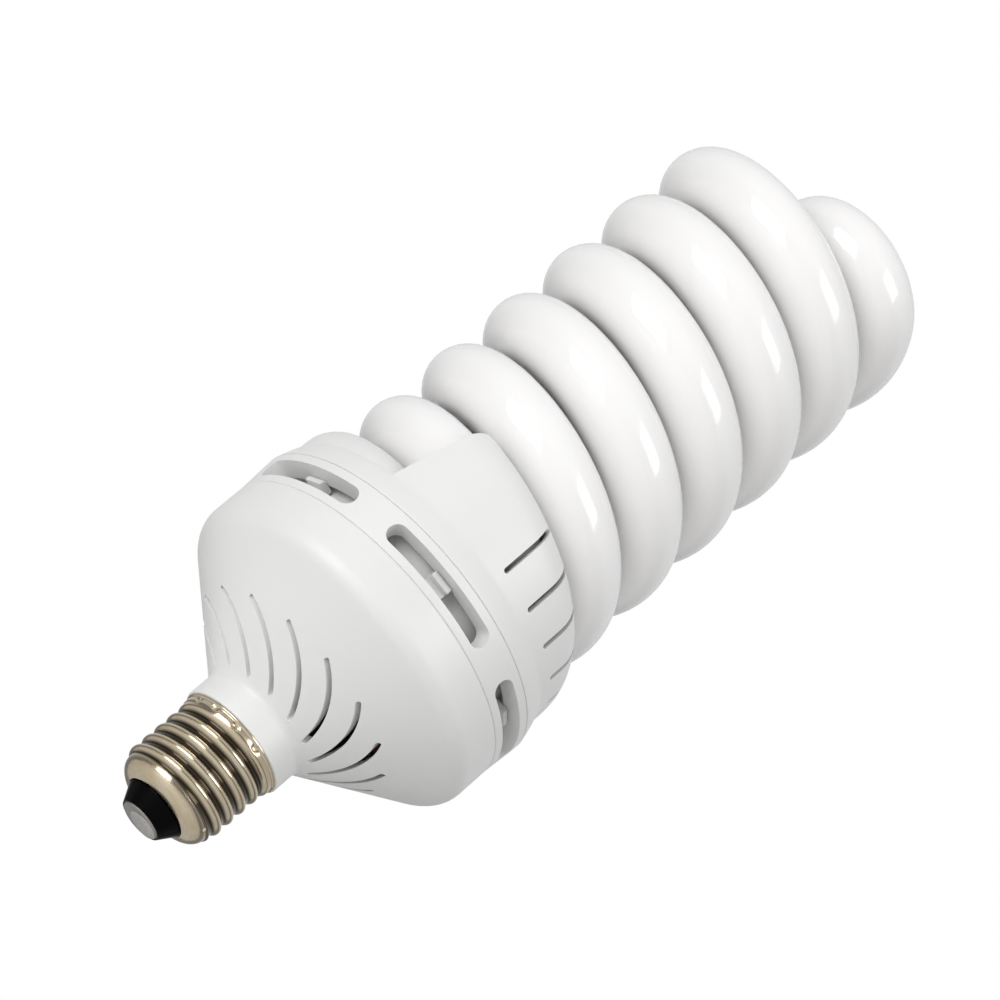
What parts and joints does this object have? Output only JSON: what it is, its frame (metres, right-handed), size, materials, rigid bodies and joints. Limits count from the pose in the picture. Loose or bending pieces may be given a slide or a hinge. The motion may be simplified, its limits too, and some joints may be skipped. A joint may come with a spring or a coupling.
{
  "type": "fluorescent bulb",
  "caption": "Self-ballasted spiral fluorescent bulb with a white vented ballast housing and a screw cap.",
  "frame": {"origin": "tip of the cap's centre contact", "axes": "+Z along the lamp's axis, from the contact to the far end of the spiral; -Y faces the picture's near side"},
  "size_m": [0.0842, 0.0842, 0.2277],
  "materials": {
    "milky_glass": "milky, polished",
    "black_glass": "glossy",
    "white_plastic": "satin moulded",
    "nickel_brass": "nickel-plated, rolled",
    "contact_brass": "dull",
    "solder": "dull tin",
    "cement": "matt",
    "board": "matt laminate",
    "ferrite": "matt sintered",
    "bobbin_plastic": "satin",
    "copper_wire": "enamelled",
    "capacitor_sleeve": "gloss",
    "dipped_film": "gloss",
    "moulding_compound": "matt",
    "sink_aluminium": "mill",
    "resistor_coat": "gloss",
    "thermistor_coat": "satin",
    "tinned_wire": "tinned",
    "lead_sleeve": "matt sleeve"
  },
  "bodies": {
    "root": {"screw_shell": "nickel_brass", "cap_insulator": "black_glass", "centre_contact": "contact_brass", "contact_solder": "solder", "rear_housing": "white_plastic", "vent_ring": "white_plastic", "tube_holder": "white_plastic", "discharge_tube": "milky_glass", "tube_cement": "cement", "circuit_board": "board", "bulk_capacitor": "capacitor_sleeve", "ballast_core": "ferrite", "ballast_bobbin": "bobbin_plastic", "ballast_winding": "copper_wire", "filter_choke_core": "ferrite", "filter_choke_winding": "copper_wire", "drive_core": "ferrite", "drive_windings": "copper_wire", "resonant_capacitor": "dipped_film", "coupling_capacitor": "dipped_film", "filter_capacitor": "dipped_film", "transistors": "moulding_compound", "heat_sink": "sink_aluminium", "rectifier_diodes": "moulding_compound", "resistors": "resistor_coat", "fuse": "resistor_coat", "thermistor": "thermistor_coat", "wire_posts": "tinned_wire", "filament_leads": "tinned_wire", "shell_lead": "lead_sleeve", "contact_lead": "lead_sleeve"}
  },
  "joints": []
}
